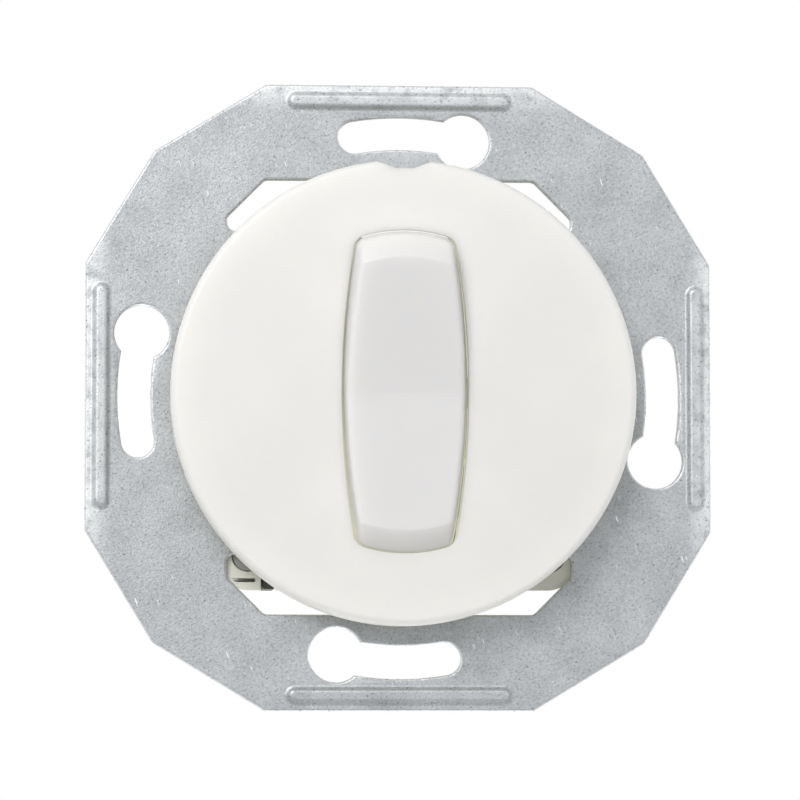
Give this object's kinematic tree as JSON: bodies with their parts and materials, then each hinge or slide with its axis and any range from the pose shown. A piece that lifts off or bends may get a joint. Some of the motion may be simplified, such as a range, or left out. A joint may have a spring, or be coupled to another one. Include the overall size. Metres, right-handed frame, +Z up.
{
  "type": "rocker light switch",
  "caption": "Flush-mounted rocker light switch without outer frame: twelve-sided steel plate, round domed cover, tall rocker.",
  "frame": {"origin": "centre of the mounting plate's back face, on the wall plane and on the axis of the screw circle", "axes": "+Z up on the wall, -Y out of the wall towards the user, +X to the right seen from the front"},
  "size_m": [0.071, 0.0334, 0.071],
  "materials": {
    "steel_plate": "galvanised, fine matt speckle",
    "white_plastic": "polished moulded plastic",
    "body_plastic": "matt moulded plastic",
    "dark_plastic": "matt moulded plastic",
    "brass": "stamped",
    "silver_contact": "polished",
    "spring_steel": "bright"
  },
  "bodies": {
    "root": {"mounting_plate": "steel_plate", "cover_disc": "white_plastic", "front_housing": "body_plastic", "base_housing": "body_plastic", "fixed_contacts": "silver_contact", "common_terminal": "brass", "upper_terminal": "brass", "lower_terminal": "brass", "clamp_spring_common": "spring_steel", "clamp_spring_upper": "spring_steel", "clamp_spring_lower": "spring_steel", "housing_rivets": "spring_steel", "plate_rivets": "spring_steel"},
    "rocker": {"rocker_cap": "white_plastic", "rocker_carrier": "body_plastic"},
    "plunger": {"plunger": "body_plastic", "plunger_spring": "spring_steel"},
    "bridge": {"contact_bridge": "brass", "moving_contacts": "silver_contact"},
    "lever_common": {"release_lever_common": "dark_plastic"},
    "lever_upper": {"release_lever_upper": "dark_plastic"},
    "lever_lower": {"release_lever_lower": "dark_plastic"}
  },
  "joints": [
    {"name": "rocker_tilt", "type": "hinge", "parent": "root", "child": "rocker", "pos_m": [0, -0.0065, 0], "axis": [-1, 0, 0], "range_deg": [0, 8]},
    {"name": "plunger_slide", "type": "slide", "parent": "rocker", "child": "plunger", "axis": [0, -0.9976, -0.0698], "range_m": [0, 0.0012], "stiffness_N_per_m": 600, "springref_m": -0.002, "deforming": ["plunger_spring"]},
    {"name": "bridge_tilt", "type": "hinge", "parent": "root", "child": "bridge", "pos_m": [0, 0.0084, 0], "axis": [-1, 0, 0], "range_deg": [-24, 0]},
    {"name": "lever_common_hinge", "type": "hinge", "parent": "root", "child": "lever_common", "pos_m": [0.008, 0.007, -0.0205], "axis": [1, 0, 0], "range_deg": [0, 8], "stiffness_Nm_per_rad": 0.002, "springref_deg": -20.05},
    {"name": "lever_lower_hinge", "type": "hinge", "parent": "root", "child": "lever_lower", "pos_m": [-0.0147, 0.007, -0.0205], "axis": [1, 0, 0], "range_deg": [0, 8], "stiffness_Nm_per_rad": 0.002, "springref_deg": -20.05},
    {"name": "lever_upper_hinge", "type": "hinge", "parent": "root", "child": "lever_upper", "pos_m": [-0.0147, 0.007, 0.0169], "axis": [-1, 0, 0], "range_deg": [0, 8], "stiffness_Nm_per_rad": 0.002, "springref_deg": -20.05}
  ],
  "couplings": [
    {"joint": "bridge_tilt", "follows": "rocker_tilt", "ratio": -3}
  ]
}
